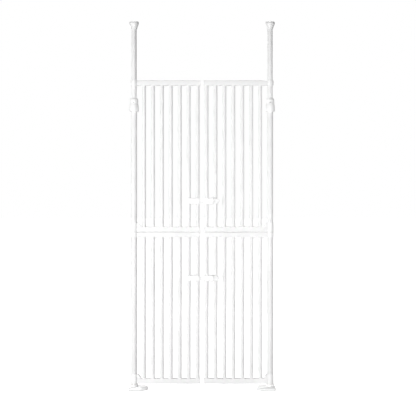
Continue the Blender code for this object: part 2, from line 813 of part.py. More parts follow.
def clamp_plate(assembly, name, place, side, outline):
    """The rear half, with a counterbore for the screw's head."""
    clamp = latch_block(
        assembly, name, "latch_clamp", place, side, outline, LATCH_SPLIT, CLAMP_BACK_Y
    )
    back = CLAMP_BACK_Y + PAST
    screw_hole(assembly, clamp, place, side, -LATCH_SPLIT, back)
    seat = CLAMP_BACK_Y - SCREW_HEAD_HEIGHT - GAP * 2
    along = side * SCREW_X
    radius = SCREW_HEAD_RADIUS + GAP
    ends = ((along, seat, 0), (along, back, 0))
    mesh = cylinder_mesh("counterbore", radius, *ends, SMALL_STEPS)
    boolean(clamp, assembly.helper(name + "_counterbore", mesh, place))
    return clamp


def clamp_screw(assembly, name, place, side):
    seat = CLAMP_BACK_Y - SCREW_HEAD_HEIGHT - GAP
    sizes = (SCREW_HEAD_RADIUS, SCREW_HEAD_HEIGHT, SCREW_SHANK_RADIUS)
    spot = (place[0] + side * SCREW_X, place[1], place[2])
    return socket_screw(assembly, name, "clamp_screw", spot, -seat, -SCREW_TIP_Y, sizes)


def box_cut(assembly, block, name, place, low, high):
    boolean(block, assembly.helper(block.name + name, box_mesh(name, low, high), place))


def housing_outline(start, taper, tip, tip_radius, half_height):
    """A block whose far end tapers to a round nose."""
    centre = (tip - tip_radius, 0)
    slope = math.degrees(math.atan2(half_height - tip_radius, centre[0] - taper))
    return [
        (start, -half_height),
        (taper, -half_height),
        *arc(centre, tip_radius, -90 + slope, 90 - slope, NOSE_STEPS),
        (taper, half_height),
        (start, half_height),
    ]


def latch_housing(assembly, level, place):
    outline = housing_outline(
        HOUSING_START, HOUSING_TAPER, HOUSING_TIP, HOUSING_TIP_RADIUS, LATCH_HALF_HEIGHT
    )
    name = f"{level}_latch_housing"
    housing = latch_block(
        assembly, name, "latch_housing", place, 1, outline, LATCH_FRONT_Y, -LATCH_SPLIT
    )
    channel = BOLT_HALF_HEIGHT + GAP
    low = (HOUSING_START - PAST, BOLT_FRONT_Y - GAP, -channel)
    high = (BOLT_TAIL_X + BOLT_RETRACT + PAST, BOLT_BACK_Y + GAP, channel)
    box_cut(assembly, housing, "_channel", place, low, high)
    stem = KNOB_STEM_RADIUS + KNOB_STEM_SLACK
    low = (KNOB_X - BOLT_LOCK - stem, LATCH_FRONT_Y - PAST, -stem)
    high = (KNOB_X + BOLT_RETRACT + stem, (BOLT_FRONT_Y + BOLT_BACK_Y) / 2, stem)
    box_cut(assembly, housing, "_slot", place, low, high)
    screw_hole(assembly, housing, place, 1, SCREW_TIP_Y - PAST, LATCH_SPLIT)
    return housing


def keeper_block(assembly, level, place):
    outline = rounded_rectangle(
        (KEEPER_END - HOUSING_START) / 2,
        LATCH_HALF_HEIGHT - KEEPER_INSET,
        KEEPER_CORNER,
        (-(KEEPER_END + HOUSING_START) / 2, 0),
    )
    name = f"{level}_latch_keeper"
    keeper = latch_block(
        assembly, name, "latch_keeper", place, -1, outline, LATCH_FRONT_Y, -LATCH_SPLIT
    )
    pocket = BOLT_HALF_HEIGHT + KEEPER_SLACK
    low = (-HOUSING_START - KEEPER_POCKET_DEPTH, BOLT_FRONT_Y - KEEPER_SLACK, -pocket)
    high = (-HOUSING_START + PAST, BOLT_BACK_Y + KEEPER_SLACK, pocket)
    box_cut(assembly, keeper, "_pocket", place, low, high)
    screw_hole(assembly, keeper, place, -1, SCREW_TIP_Y - PAST, LATCH_SPLIT)
    return keeper


def latch_bolt(assembly, level, place):
    low = (BOLT_NOSE_X, BOLT_FRONT_Y, -BOLT_HALF_HEIGHT)
    high = (BOLT_TAIL_X, BOLT_BACK_Y, BOLT_HALF_HEIGHT)
    bolt = assembly.part(f"{level}_latch_bolt", "latch_bolt", box_mesh("bolt", low, high), place)
    bevel(bolt, BOLT_EDGE, 1)
    ends = ((KNOB_X, BOLT_FRONT_Y - PAST, 0), (KNOB_X, KNOB_STEM_Y + GAP, 0))
    socket = cylinder_mesh("socket", KNOB_STEM_RADIUS + GAP, *ends, SMALL_STEPS)
    boolean(bolt, assembly.helper(f"{level}_bolt_socket", socket, place))
    return bolt


def latch_knob(assembly, level, place):
    """A round push knob with a dished face, whose stem passes the housing's slot into the bolt."""
    back = -LATCH_FRONT_Y + GAP
    front = back + KNOB_THICKNESS
    profile = [
        *((radius, front - drop) for radius, drop in KNOB_FACE),
        (KNOB_RADIUS, back + KNOB_EDGE),
        (KNOB_RADIUS - KNOB_EDGE, back),
        (KNOB_STEM_RADIUS, back),
        (KNOB_STEM_RADIUS, -KNOB_STEM_Y),
        (0, -KNOB_STEM_Y),
    ]
    spot = (place[0] + KNOB_X, place[1], place[2])
    mesh = profile_mesh("latch_knob", profile, False)
    knob = assembly.part(f"{level}_latch_knob", "latch_knob", mesh, spot)
    turn(knob)
    facing_front(knob)
    return knob


def latch(assembly, level, height, right_pivot, left_pivot):
    place = (0, 0, height)
    half = LATCH_HALF_HEIGHT - CLAMP_INSET
    start = HOUSING_START + CLAMP_INSET
    right_outline = housing_outline(start, HOUSING_TAPER, CLAMP_TIP, HOUSING_TIP_RADIUS, half)
    left_outline = rounded_rectangle(SCREW_X - start, half, KEEPER_CORNER, (-SCREW_X, 0))
    on_right = [
        latch_housing(assembly, level, place),
        clamp_plate(assembly, f"{level}_housing_clamp", place, 1, right_outline),
        clamp_screw(assembly, f"{level}_housing_screw", place, 1),
    ]
    on_left = [
        keeper_block(assembly, level, place),
        clamp_plate(assembly, f"{level}_keeper_clamp", place, -1, left_outline),
        clamp_screw(assembly, f"{level}_keeper_screw", place, -1),
    ]
    slide = assembly.pivot(f"{level}_bolt_slide", place, right_pivot)
    for pieces, pivot in (
        (on_right, right_pivot),
        (on_left, left_pivot),
        ([latch_bolt(assembly, level, place), latch_knob(assembly, level, place)], slide),
    ):
        for piece in pieces:
            keep_in_place(piece, pivot)


def build():
    clear_scene()
    assembly = Assembly("pet_gate")
    leaf_pivots = {}
    for side_name, side in SIDES.items():
        axis = (side * POLE_X, 0, 0)
        foot(assembly, side_name, side)
        fixed_pole(assembly, side_name, side)
        jack_nut(assembly, side_name, axis)
        stem_pivot = jack_stem(assembly, side_name, axis)
        sliding_pole(assembly, side_name, side, stem_pivot)
        for level, base, bore in (
            ("lower", LOWER_LEAF_Z, RUNNING_BORE),
            ("upper", UPPER_LEAF_Z, STEM_BORE),
        ):
            leaf_pivots[level, side_name] = leaf(assembly, level, side_name, side, base, bore)
    for level, height in (("upper", UPPER_LATCH_Z), ("lower", LOWER_LATCH_Z)):
        latch(assembly, level, height, leaf_pivots[level, "right"], leaf_pivots[level, "left"])


build()
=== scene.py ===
"""Looks of the pet gate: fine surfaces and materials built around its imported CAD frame.

Lengths are metres, in the frame's own axes: +X across the gate, -Y the front, +Z up.
"""

import json
import math

import bmesh
import bpy
from mathutils import Matrix, Vector

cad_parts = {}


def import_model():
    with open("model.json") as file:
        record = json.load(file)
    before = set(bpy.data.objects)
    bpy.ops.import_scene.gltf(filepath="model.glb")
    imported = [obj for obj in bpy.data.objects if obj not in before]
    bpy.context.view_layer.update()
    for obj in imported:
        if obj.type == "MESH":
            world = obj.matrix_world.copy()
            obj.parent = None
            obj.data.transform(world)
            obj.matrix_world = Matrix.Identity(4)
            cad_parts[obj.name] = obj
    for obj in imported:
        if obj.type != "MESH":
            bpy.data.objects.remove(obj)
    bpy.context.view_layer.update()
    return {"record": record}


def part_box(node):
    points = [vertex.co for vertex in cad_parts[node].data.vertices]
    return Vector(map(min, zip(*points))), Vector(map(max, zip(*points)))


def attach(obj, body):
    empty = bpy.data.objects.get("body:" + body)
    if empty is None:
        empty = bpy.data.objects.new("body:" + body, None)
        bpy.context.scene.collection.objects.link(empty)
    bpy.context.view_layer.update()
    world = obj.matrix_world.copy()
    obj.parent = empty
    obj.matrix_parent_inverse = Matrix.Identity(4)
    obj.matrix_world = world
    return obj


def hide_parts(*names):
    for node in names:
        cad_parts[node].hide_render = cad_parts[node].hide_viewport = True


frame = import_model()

SIDES = {"left": -1, "right": 1}
LEVELS = ("upper", "lower")
GAP = 0.0003  # the clearance that the CAD pieces keep
OVERSHOOT = 0.001  # how far a cutter starts outside what it cuts
OUTER_FIT = 0.0178  # bore of whatever turns on an outer tube
INNER_FIT = 0.0153  # bore of whatever goes round an inner tube

# Mesh fineness
ROUND = 72  # steps round a visible turned piece
SMALL_ROUND = 40
BAR_ROUND = 48
FILLET_STEPS = 5
SMALL_FILLET_STEPS = 3
SHARP_ANGLE = math.radians(38)
BEVEL_ANGLE = math.radians(35)
ON_AXIS = 1e-7  # a smaller radius is a point on the axis

# Leaves
BAR_COUNT = 7
BAR_PITCH = 0.053
BAR_RADIUS = 0.0115
STILE_X = 0.0265  # the bar next to the centre gap
SCREW_X = STILE_X + BAR_PITCH / 2  # the latch screws pass midway between two bars
RAIL_HEIGHT = 0.030
RAIL_HALF_DEPTH = 0.0125
RAIL_CORNER = 0.002
PLUG_INSET = 0.0015  # from a rail's outside to a plug inside it
PLUG_CORNER = 0.0025

BODY_OF = {
    node: body
    for body, nodes in frame["record"]["behaviour"]["bodies"].items()
    for node in nodes
}
SLOT_OF = {entry["node"]: entry["material_slot"] for entry in frame["record"]["subparts"]}


# Outlines


def fillet(corners, closed=True, steps=FILLET_STEPS):
    """Rounds the corners of an outline. Each corner is (a, b) or (a, b, radius)."""
    points = []
    count = len(corners)
    for index, corner in enumerate(corners):
        here = Vector(corner[:2])
        radius = corner[2] if len(corner) > 2 else 0
        ends = index in (0, count - 1)
        if not radius or (ends and not closed):
            points.append(tuple(here))
            continue
        before = Vector(corners[index - 1][:2]) - here
        after = Vector(corners[(index + 1) % count][:2]) - here
        half = before.angle(after) / 2
        reach = radius / math.tan(half)
        start = here + before.normalized() * reach
        end = here + after.normalized() * reach
        middle = (before.normalized() + after.normalized()).normalized()
        centre = here + middle * (radius / math.sin(half))
        first, last = start - centre, end - centre
        sweep = first.angle_signed(last)
        for step in range(steps + 1):
            turn = Matrix.Rotation(-sweep * step / steps, 2)
            points.append(tuple(centre + turn @ first))
    return points


def arc(centre, radius, start, end, steps):
    """Points on an arc between two angles in degrees."""
    angles = [math.radians(start + (end - start) * i / steps) for i in range(steps + 1)]
    return [(centre[0] + radius * math.cos(a), centre[1] + radius * math.sin(a)) for a in angles]


def rectangle(low, high, radius):
    (a0, b0), (a1, b1) = low, high
    return fillet([(a0, b0, radius), (a1, b0, radius), (a1, b1, radius), (a0, b1, radius)])


# Mesh work


def new_object(name, bm):
    bmesh.ops.recalc_face_normals(bm, faces=bm.faces[:])
    mesh = bpy.data.meshes.new(name)
    bm.to_mesh(mesh)
    bm.free()
    obj = bpy.data.objects.new(name, mesh)
    bpy.context.scene.collection.objects.link(obj)
    return obj


def settle(obj):
    """Applies the modifiers."""
    bpy.context.view_layer.update()
    graph = bpy.context.evaluated_depsgraph_get()
    mesh = bpy.data.meshes.new_from_object(obj.evaluated_get(graph))
    obj.modifiers.clear()
    obj.data = mesh
    return obj


def smooth(obj):
    obj.data.shade_smooth()
    obj.data.set_sharp_from_angle(angle=SHARP_ANGLE)
    return obj


def join(pieces):
    """Joins pieces into the first one."""
    first, *others = pieces
    bm = bmesh.new()
    bm.from_mesh(first.data)
    for other in others:
        bm.from_mesh(other.data)
        bpy.data.objects.remove(other)
    bm.to_mesh(first.data)
    bm.free()
    return first


def cut(obj, cutters):
    for cutter in cutters:
        modifier = obj.modifiers.new("cut", "BOOLEAN")
        modifier.operation = "DIFFERENCE"
        modifier.solver = "EXACT"
        modifier.object = cutter
        settle(obj)
        bpy.data.objects.remove(cutter)
    return obj


def bevel(obj, width, segments=4):
    modifier = obj.modifiers.new("edges", "BEVEL")
    modifier.width = width
    modifier.segments = segments
    modifier.limit_method = "ANGLE"
    modifier.angle_limit = BEVEL_ANGLE
    return settle(obj)


def loft(name, rings, caps=True):
    """Skins a row of rings, each with the same number of points. Without caps it closes on itself."""
    bm = bmesh.new()
    rows = [[bm.verts.new(point) for point in ring] for ring in rings]
    count = len(rows[0])
    pairs = list(zip(rows, rows[1:]))
    if not caps:
        pairs.append((rows[-1], rows[0]))
    for lower, upper in pairs:
        for i in range(count):
            j = (i + 1) % count
            bm.faces.new((lower[i], lower[j], upper[j], upper[i]))
    if caps:
        bm.faces.new(rows[0])
        bm.faces.new(rows[-1])
    return new_object(name, bm)


def prism(name, outline, low, high, axis):
    """An outline thickened along an axis. X outlines hold (y, z) and Y ones (x, z)."""
    place = {
        "X": lambda a, b, along: (along, a, b),
        "Y": lambda a, b, along: (a, along, b),
    }[axis]
    return loft(name, [[place(a, b, along) for a, b in outline] for along in (low, high)])


def lathe(name, profile, centre=(0, 0, 0), steps=ROUND, axis="Z", closed=False, swell=None):
    """Turns a (radius, height) profile about a line through centre. Axis -Y has its heights run to
    the front. Swell changes a radius from (radius, height, angle)."""
    bm = bmesh.new()
    cx, cy, cz = centre

    def place(radius, height, angle):
        if swell and radius:
            radius = swell(radius, height, angle)
        a, b = radius * math.cos(angle), radius * math.sin(angle)
        if axis == "Z":
            return (cx + a, cy + b, cz + height)
        return (cx + a, cy - height, cz + b)

    rows = []
    for radius, height in profile:
        if radius < ON_AXIS:
            rows.append([bm.verts.new(place(0, height, 0))])
        else:
            angles = [2 * math.pi * i / steps for i in range(steps)]
            rows.append([bm.verts.new(place(radius, height, angle)) for angle in angles])
    pairs = list(zip(rows, rows[1:]))
    if closed:
        pairs.append((rows[-1], rows[0]))
    for first, second in pairs:
        for i in range(steps):
            j = (i + 1) % steps
            if len(first) == 1:
                bm.faces.new((first[0], second[i], second[j]))
            elif len(second) == 1:
                bm.faces.new((first[i], first[j], second[0]))
            else:
                bm.faces.new((first[i], first[j], second[j], second[i]))
    return new_object(name, bm)


def rod(name, radius, start, end, steps=SMALL_ROUND):
    start, end = Vector(start), Vector(end)
    bm = bmesh.new()
    turn = Vector((0, 0, 1)).rotation_difference(end - start).to_matrix().to_4x4()
    bmesh.ops.create_cone(
        bm,
        cap_ends=True,
        segments=steps,
        radius1=radius,
        radius2=radius,
        depth=(end - start).length,
        matrix=Matrix.Translation((start + end) / 2) @ turn,
    )
    return new_object(name, bm)


def block(name, low, high, radius=0.0, segments=3):
    low, high = Vector(low), Vector(high)
    bm = bmesh.new()
    size = Matrix.Diagonal((*(high - low), 1))
    bmesh.ops.create_cube(bm, size=1, matrix=Matrix.Translation((low + high) / 2) @ size)
    obj = new_object(name, bm)
    return bevel(obj, radius, segments) if radius else obj


# Materials


class Nodes:
    """A short way to write a material's node tree."""

    def __init__(self, name):
        self.material = bpy.data.materials.new(name)
        self.material.use_nodes = True
        self.tree = self.material.node_tree
        self.shader = self.tree.nodes["Principled BSDF"]
        self.coordinates = self.tree.nodes.new("ShaderNodeTexCoord").outputs["Object"]

    def node(self, kind, **inputs):
        made = self.tree.nodes.new(kind)
        for key, value in inputs.items():
            socket = made.inputs[key.replace("_", " ")]
            if isinstance(value, bpy.types.NodeSocket):
                self.tree.links.new(value, socket)
            else:
                socket.default_value = value
        return made

    def noise(self, scale, detail=2.0, roughness=0.5, stretch=None):
        vector = self.coordinates
        if stretch:
            vector = self.node("ShaderNodeMapping", Vector=vector, Scale=stretch).outputs["Vector"]
        inputs = {"Vector": vector, "Scale": scale, "Detail": detail, "Roughness": roughness}
        return self.node("ShaderNodeTexNoise", **inputs).outputs["Fac"]

    def span(self, value, low, high, start=0.3, end=0.7):
        """Maps a value from start..end to low..high."""
        made = self.node("ShaderNodeMapRange", Value=value)
        made.inputs["From Min"].default_value = start
        made.inputs["From Max"].default_value = end
        made.inputs["To Min"].default_value = low
        made.inputs["To Max"].default_value = high
        return made.outputs["Result"]

    def mix(self, factor, first, second):
        made = self.tree.nodes.new("ShaderNodeMix")
        made.data_type = "RGBA"
        sockets = (made.inputs[0], made.inputs[6], made.inputs[7])  # factor and the two colours
        for socket, value in zip(sockets, (factor, first, second)):
            if isinstance(value, bpy.types.NodeSocket):
                self.tree.links.new(value, socket)
            else:
                socket.default_value = value
        return made.outputs[2]

    def bump(self, height, distance, strength=1.0, normal=None):
        made = self.node("ShaderNodeBump", Height=height, Distance=distance, Strength=strength)
        if normal:
            self.tree.links.new(normal, made.inputs["Normal"])
        return made.outputs["Normal"]

    def link(self, value, socket):
        self.tree.links.new(value, self.shader.inputs[socket])

    def fixed(self, **values):
        for key, value in values.items():
            self.shader.inputs[key.replace("_", " ")].default_value = value


def grey(value, warm=0.0):
    """A grey, with red raised and blue lowered by the warmth."""
    return (value + warm, value, value - warm, 1)


def powder_coat(name, light, dark):
    """Baked powder: a fine orange peel over slow waves, with a cloudy film thickness."""
    nodes = Nodes(name)
    cloud = nodes.noise(scale=9, detail=3)
    nodes.link(nodes.mix(nodes.span(cloud, 0, 1), grey(dark), grey(light)), "Base Color")
    nodes.link(nodes.span(nodes.noise(scale=60, detail=3), 0.46, 0.60), "Roughness")
    peel = nodes.noise(scale=620, detail=2, roughness=0.45)
    waves = nodes.noise(scale=55, detail=2)
    peeled = nodes.bump(peel, distance=0.00006, strength=0.55)
    nodes.link(nodes.bump(waves, distance=0.00012, strength=0.5, normal=peeled), "Normal")
    nodes.fixed(Specular_IOR_Level=0.25)
    return nodes.material


SCUFF_DEPTH = 0.08  # how far scuffs move a plastic's roughness either way


def moulded_plastic(name, light, dark, rough=0.42, shine=0.4, lacquer=0.0):
    """Moulded plastic: spark-eroded grain, faint flow clouds and handling scuffs."""
    nodes = Nodes(name)
    cloud = nodes.noise(scale=14, detail=4, roughness=0.55)
    nodes.link(nodes.mix(nodes.span(cloud, 0, 1), grey(dark), grey(light)), "Base Color")
    scuffs = nodes.noise(scale=130, detail=3, roughness=0.6, stretch=(1, 1, 0.25))
    nodes.link(nodes.span(scuffs, rough - SCUFF_DEPTH, rough + SCUFF_DEPTH), "Roughness")
    grain = nodes.noise(scale=1900, detail=2, roughness=0.6)
    sink = nodes.noise(scale=38, detail=1)
    grained = nodes.bump(grain, distance=0.00003, strength=0.6)
    nodes.link(nodes.bump(sink, distance=0.00015, strength=0.4, normal=grained), "Normal")
    nodes.fixed(Specular_IOR_Level=shine, Coat_Weight=lacquer, Coat_Roughness=0.15)
    return nodes.material


def rubber(name, light, dark):
    """Matt rubber with a bloom of dust and a pebbled skin."""
    nodes = Nodes(name)
    dust = nodes.noise(scale=70, detail=5, roughness=0.7)
    nodes.link(nodes.mix(nodes.span(dust, 0, 1), grey(dark), grey(light)), "Base Color")
    nodes.link(nodes.span(dust, 0.72, 0.92), "Roughness")
    pebbles = nodes.noise(scale=800, detail=2)
    nodes.link(nodes.bump(pebbles, distance=0.00010, strength=0.8), "Normal")
    nodes.fixed(Specular_IOR_Level=0.25)
    return nodes.material


def nylon(name):
    """Unpigmented nylon: slightly yellow, with a waxy gloss and turned rings."""
    nodes = Nodes(name)
    cloud = nodes.noise(scale=40, detail=3)
    nodes.link(nodes.mix(nodes.span(cloud, 0, 1), grey(0.70, 0.02), grey(0.80, 0.015)), "Base Color")
    nodes.link(nodes.span(nodes.noise(scale=200, detail=2), 0.32, 0.5), "Roughness")
    turned = nodes.noise(scale=300, detail=2, stretch=(1, 1, 8))
    nodes.link(nodes.bump(turned, distance=0.00004, strength=0.6), "Normal")
    nodes.fixed(Specular_IOR_Level=0.5)
    return nodes.material


def zinc_steel(name):
    """Zinc-plated steel: bright, with drawn scratches and dull spots."""
    nodes = Nodes(name)
    spots = nodes.noise(scale=400, detail=4, roughness=0.6)
    nodes.link(nodes.mix(nodes.span(spots, 0, 1), grey(0.42), grey(0.62)), "Base Color")
    nodes.link(nodes.span(nodes.noise(scale=900, detail=3), 0.22, 0.42), "Roughness")
    drawn = nodes.noise(scale=1500, detail=2, stretch=(1, 6, 1))
    nodes.link(nodes.bump(drawn, distance=0.00002, strength=0.6), "Normal")
    nodes.fixed(Metallic=1.0)
    return nodes.material


def make_materials():
    """One material for each slot, from its light and dark tones. The foot plate also has its
    roughness, shine and lacquer."""
    coat = {slot: (0.80, 0.75) for slot in ("outer_tube", "inner_tube", "leaf_frame")}
    plastic = {
        "foot_plate": (0.84, 0.79, 0.20, 1.0, 1.0),
        "jack_nut": (0.85, 0.80),
        "jack_stem": (0.86, 0.81),
        "ceiling_cup": (0.75, 0.70),
        "hinge_sleeve": (0.85, 0.80),
        "hinge_bracket": (0.85, 0.80),
        "rail_cap": (0.84, 0.78),
        "latch_housing": (0.84, 0.79),
        "latch_bolt": (0.80, 0.74),
        "latch_knob": (0.82, 0.76),
        "latch_keeper": (0.84, 0.79),
        "latch_clamp": (0.83, 0.77),
    }
    made = {slot: powder_coat(slot, *tones) for slot, tones in coat.items()}
    made.update({slot: moulded_plastic(slot, *tones) for slot, tones in plastic.items()})
    made["foot_pad"] = rubber("foot_pad", 0.66, 0.55)
    made["ceiling_pad"] = rubber("ceiling_pad", 0.80, 0.72)
    for slot in ("inner_tube_guide", "pivot_washer"):
        made[slot] = nylon(slot)
    for slot in ("fixing_screw", "clamp_screw"):
        made[slot] = zinc_steel(slot)
    return made


MATERIALS = make_materials()


def show(piece, node):
    """The piece stands for a CAD node: it takes that node's body, slot and material."""
    smooth(piece)
    piece.data.materials.clear()
    piece.data.materials.append(MATERIALS[SLOT_OF[node]])
    piece.name = node + "_skin"
    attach(piece, BODY_OF[node])
    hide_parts(node)
    return piece


def span_of(node):
    """The node's lowest and highest corner, and its middle."""
    low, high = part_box(node)
    return low, high, (low + high) / 2


def ring(node, bore, edge=0.0006):
    """A plain tube or washer in the node's box, with its edges eased."""
    low, high, middle = span_of(node)
    outer = (high.x - low.x) / 2
    profile = [(bore, low.z, edge), (outer, low.z, edge), (outer, high.z, edge), (bore, high.z, edge)]
    rounded = fillet(profile, steps=SMALL_FILLET_STEPS)
    return lathe(node, rounded, (middle.x, middle.y, 0), closed=True)


# Poles and feet

OUTER_TUBE_BORE = 0.0160
INNER_TUBE_BORE = 0.0138
WASHER_EDGE = 0.0003

FOOT_CORNER = 0.007
FOOT_LEAST_CORNER = 0.002  # what is left of that corner on the insets
FOOT_END_STEPS = 48
FOOT_CORNER_STEPS = 6
PLATE_EDGE_TOP = 0.016
PLATE_STEP_TOP = 0.019
PLATE_STEP_INSET = 0.0080
PLATE_STEP_TOP_INSET = 0.0088
PLATE_TOP_INSET = 0.0200
NECK_SINK = 0.0008  # how far the neck's flare starts below the step
NECK_ROOT = 0.004  # how far its bore runs on below the flare
NECK_FLARE_RADIUS = 0.0290
NECK_WAIST_RADIUS = 0.0240
NECK_WAIST_RISE = 0.0016
NECK_TOP_RADIUS = 0.0232

GUIDE_BORE = 0.0115
GUIDE_SPIGOT_RADIUS = 0.0135  # inside the inner tube
GUIDE_FLANGE_RADIUS = 0.0157  # inside the outer tube
GUIDE_FLANGE_HEIGHT = 0.004


def foot_outline(side, axis_x, box, inset):
    """The D about the pole: straight outer edge, round inner end. Every inset has as many points."""
    low, high = box
    half = (high.y - low.y) / 2 - inset
    inner = (high.x if side < 0 else low.x) - axis_x
    outer = (low.x if side < 0 else high.x) - axis_x
    centre = abs(inner) - (high.y - low.y) / 2
    corner = max(FOOT_CORNER - inset, FOOT_LEAST_CORNER)
    back = abs(outer) - inset
    points = arc((centre, 0), half, -90, 90, FOOT_END_STEPS)
    points += arc((-back + corner, half - corner), corner, 90, 180, FOOT_CORNER_STEPS)
    points += arc((-back + corner, -half + corner), corner, 180, 270, FOOT_CORNER_STEPS)
    return [(axis_x - side * a, b) for a, b in points]


def stepped(name, side, axis_x, box, profile):
    """Skins D outlines up an (inset, height, fillet) profile."""
    rings = [
        [(x, y, height) for x, y in foot_outline(side, axis_x, box, inset)]
        for inset, height in fillet(profile, closed=False)
    ]
    return loft(name, rings)


def foot(side_name, side):
    """A foot plate with its neck round the tube, and the rubber pad under it."""
    plate = f"foot_plate_{side_name}"
    tube_low, tube_high, tube_middle = span_of(f"outer_tube_{side_name}")
    axis_x = tube_middle.x
    socket = (tube_high.x - tube_low.x) / 2 + GAP
    low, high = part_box(plate)
    edge = [
        (0.0020, low.z),
        (0.0, low.z + 0.0006, 0.0004),
        (0.0005, PLATE_EDGE_TOP, 0.0028),
        (PLATE_STEP_INSET, PLATE_EDGE_TOP, 0.0015),
        (PLATE_STEP_TOP_INSET, PLATE_STEP_TOP, 0.0013),
        (PLATE_TOP_INSET, PLATE_STEP_TOP),
    ]
    body = stepped(plate, side, axis_x, (low, high), edge)
    flare = PLATE_STEP_TOP - NECK_SINK
    profile = [
        (socket, flare - NECK_ROOT),
        (NECK_FLARE_RADIUS, flare),
        (NECK_WAIST_RADIUS, flare + NECK_WAIST_RISE, 0.003),
        (NECK_TOP_RADIUS, high.z, 0.0016),
        (socket, high.z, 0.0004),
    ]
    neck = lathe(plate + "_neck", fillet(profile), (axis_x, 0, 0), closed=True)
    show(join([body, neck]), plate)
    pad = f"foot_pad_{side_name}"
    low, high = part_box(pad)
    edge = [(0.002, low.z), (0.0, low.z + 0.0008, 0.0005), (0.0, high.z - 0.0005), (0.0012, high.z)]
    show(stepped(pad, side, axis_x, (low, high), edge), pad)


def poles(side_name):
    """The two tubes of a pole, its bearing washers and the guide at the inner tube's lower end."""
    for part, bore in (("outer", OUTER_TUBE_BORE), ("inner", INNER_TUBE_BORE)):
        tube = f"{part}_tube_{side_name}"
        show(ring(tube, bore), tube)
    for level in ("lower", "middle"):
        washer = f"{level}_pivot_washer_{side_name}"
        show(ring(washer, OUTER_FIT, WASHER_EDGE), washer)
    guide = f"inner_tube_guide_{side_name}"
    low, high, middle = span_of(guide)
    flange_top = low.z + GUIDE_FLANGE_HEIGHT
    profile = [
        (GUIDE_BORE, high.z, 0.0005),
        (GUIDE_SPIGOT_RADIUS, high.z, 0.001),
        (GUIDE_SPIGOT_RADIUS, flange_top),
        (GUIDE_FLANGE_RADIUS, flange_top, 0.0008),
        (GUIDE_FLANGE_RADIUS, low.z, 0.0008),
        (GUIDE_BORE, low.z, 0.0005),
    ]
    rounded = fillet(profile, steps=SMALL_FILLET_STEPS)
    show(lathe(guide, rounded, (middle.x, 0, 0), SMALL_ROUND, closed=True), guide)


# Jacks and ceiling cups

# The grip nut. Drops are from its top. The flutes are on its outside, between two shares of its height.
NUT_MOUTH_RADIUS = 0.0225  # takes the stem's thread
NUT_NECK_BORE = 0.0156
NUT_SKIRT = 0.014  # height of the wide bore round the outer tube
NUT_FLOOR = 0.017  # height of the mouth's floor
NUT_TOP_RADIUS = 0.0245
NUT_SHOULDER_RADIUS = 0.0269
NUT_SHOULDER_DROP = 0.010
NUT_BELLY_RADIUS = 0.0282
NUT_BELLY_DROP = 0.025
NUT_HEEL_RADIUS = 0.0277
NUT_BOTTOM_RADIUS = 0.0267
NUT_ROW_HEIGHT = 0.0015
FLUTES = 22
FLUTE_STEPS = 10
FLUTE_DEPTH = 0.00055
FLUTE_LEAST_RADIUS = 0.0235
FLUTES_START = 0.08
FLUTES_END = 0.80

# The jack's stem: a stopper ring with a recess for its screw, and the thread below it
STOPPER_BOTTOM = 1.6943
STOPPER_TOP_RADIUS = 0.0186
STOPPER_BOTTOM_RADIUS = 0.0226
STOPPER_CONE_DROP = 0.0090
STOPPER_CHAMFER = 0.0024
RECESS_HALF_WIDTH = 0.007
RECESS_HALF_HEIGHT = 0.0045
RECESS_FRONT = -0.030
RECESS_FLOOR = -0.0193
RECESS_CORNER = 0.0018
FIXING_HOLE_RADIUS = 0.0026
FIXING_HOLE_FRONT = -0.025
THREAD_ROOT = 0.0207
THREAD_CREST = 0.0222
THREAD_PITCH = 0.005
THREAD_ROWS = 96
THREAD_RUN_IN = 0.003  # height over which the crests grow from the lower end
THREAD_RUN_OUT = 0.0005  # the same from the upper end, where they have a share of their height
THREAD_LEAST_CREST = 0.3
THREAD_HALF_RIDGE = 0.36  # half a ridge at its root, in pitches
THREAD_FLANK = 0.13  # a flank's width, in pitches

# Socket screws: shares of the head's radius, unless stated
HEAD_HEIGHT = 0.0024
SHANK_SHARE = 0.56
HEXAGON_SHARE = 0.52
HEXAGON_DEPTH_SHARE = 0.65  # of the head's height

# Ceiling cups: (radius, height) where two are given
CUP_RIM_BOTTOM = 2.1674
CUP_FLARE = (0.0226, 2.1557)
CUP_NECK = (0.0188, 2.1440)
CUP_BOTTOM_RADIUS = 0.0182
CUP_ROOF = 0.006
PAD_GROOVES = 3
PAD_GROOVE_PITCH = 0.0032
PAD_GROOVE_REACH = 0.0115  # from the pad's edge to its innermost groove
PAD_GROOVE_DEPTH = 0.0006
PAD_GROOVE_FLOOR = (0.0004, 0.0010)  # where its floor starts and ends, across
PAD_GROOVE_WIDTH = 0.0014
PAD_DRAFT = 0.0003


def fine_heights(profile, step, beyond):
    """Adds points along an outline's long stretches where its radius is beyond a limit."""
    points = []
    for here, after in zip(profile, profile[1:] + profile[:1]):
        points.append(here)
        length = math.dist(here, after)
        if min(here[0], after[0]) > beyond and length > step:
            count = math.ceil(length / step)
            for i in range(1, count):
                points.append(tuple(a + (b - a) * i / count for a, b in zip(here, after)))
    return points


